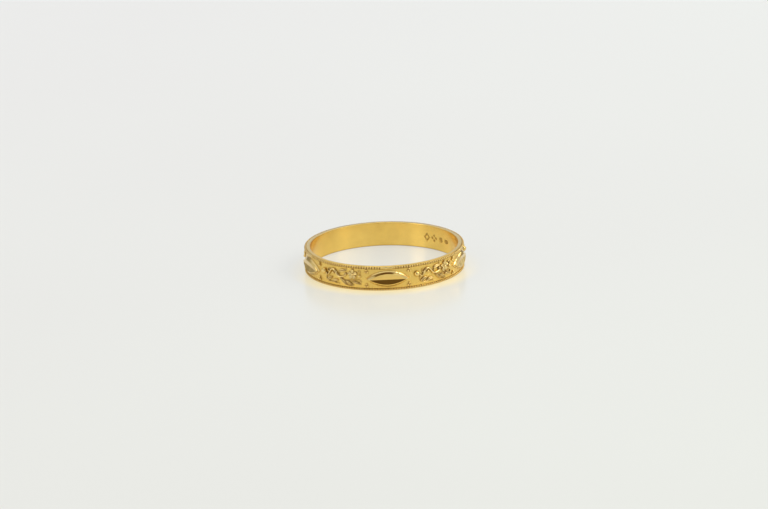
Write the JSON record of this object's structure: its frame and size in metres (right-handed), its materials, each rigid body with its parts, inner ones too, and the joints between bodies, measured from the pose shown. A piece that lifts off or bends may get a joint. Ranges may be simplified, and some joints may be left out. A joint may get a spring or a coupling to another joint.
{
  "type": "wedding band",
  "caption": "Narrow gold finger band with beaded edge wires and soldered ornament: pointed-oval bright-cut plates between sprays of scroll, blossom, leaves and beads.",
  "frame": {"origin": "on the band's axis, level with its lower edge", "axes": "+Z along the band's axis, so the band stands on its lower edge; -Y through the middle of the first marquise"},
  "size_m": [0.0187, 0.0185, 0.0028],
  "materials": {
    "hoop_gold": "satin",
    "ornament_gold": "satin",
    "polished_gold": "polished"
  },
  "bodies": {
    "root": {"band_hoop": "hoop_gold", "blossom_1": "ornament_gold", "blossom_2": "ornament_gold", "blossom_3": "ornament_gold", "blossom_4": "ornament_gold", "blossom_5": "ornament_gold", "corner_granules_1": "polished_gold", "corner_granules_2": "polished_gold", "corner_granules_3": "polished_gold", "corner_granules_4": "polished_gold", "corner_granules_5": "polished_gold", "large_bead_1": "polished_gold", "large_bead_2": "polished_gold", "large_bead_3": "polished_gold", "large_bead_4": "polished_gold", "large_bead_5": "polished_gold", "leaf_spray_1": "ornament_gold", "leaf_spray_2": "ornament_gold", "leaf_spray_3": "ornament_gold", "leaf_spray_4": "ornament_gold", "leaf_spray_5": "ornament_gold", "lower_beaded_wire": "ornament_gold", "marquise_frame_1": "ornament_gold", "marquise_frame_2": "ornament_gold", "marquise_frame_3": "ornament_gold", "marquise_frame_4": "ornament_gold", "marquise_frame_5": "ornament_gold", "marquise_plate_1": "polished_gold", "marquise_plate_2": "polished_gold", "marquise_plate_3": "polished_gold", "marquise_plate_4": "polished_gold", "marquise_plate_5": "polished_gold", "scroll_leaves_1": "ornament_gold", "scroll_leaves_2": "ornament_gold", "scroll_leaves_3": "ornament_gold", "scroll_leaves_4": "ornament_gold", "scroll_leaves_5": "ornament_gold", "scroll_vine_1": "ornament_gold", "scroll_vine_2": "ornament_gold", "scroll_vine_3": "ornament_gold", "scroll_vine_4": "ornament_gold", "scroll_vine_5": "ornament_gold", "small_beads_1": "polished_gold", "small_beads_2": "polished_gold", "small_beads_3": "polished_gold", "small_beads_4": "polished_gold", "small_beads_5": "polished_gold", "upper_beaded_wire": "ornament_gold"}
  },
  "joints": []
}
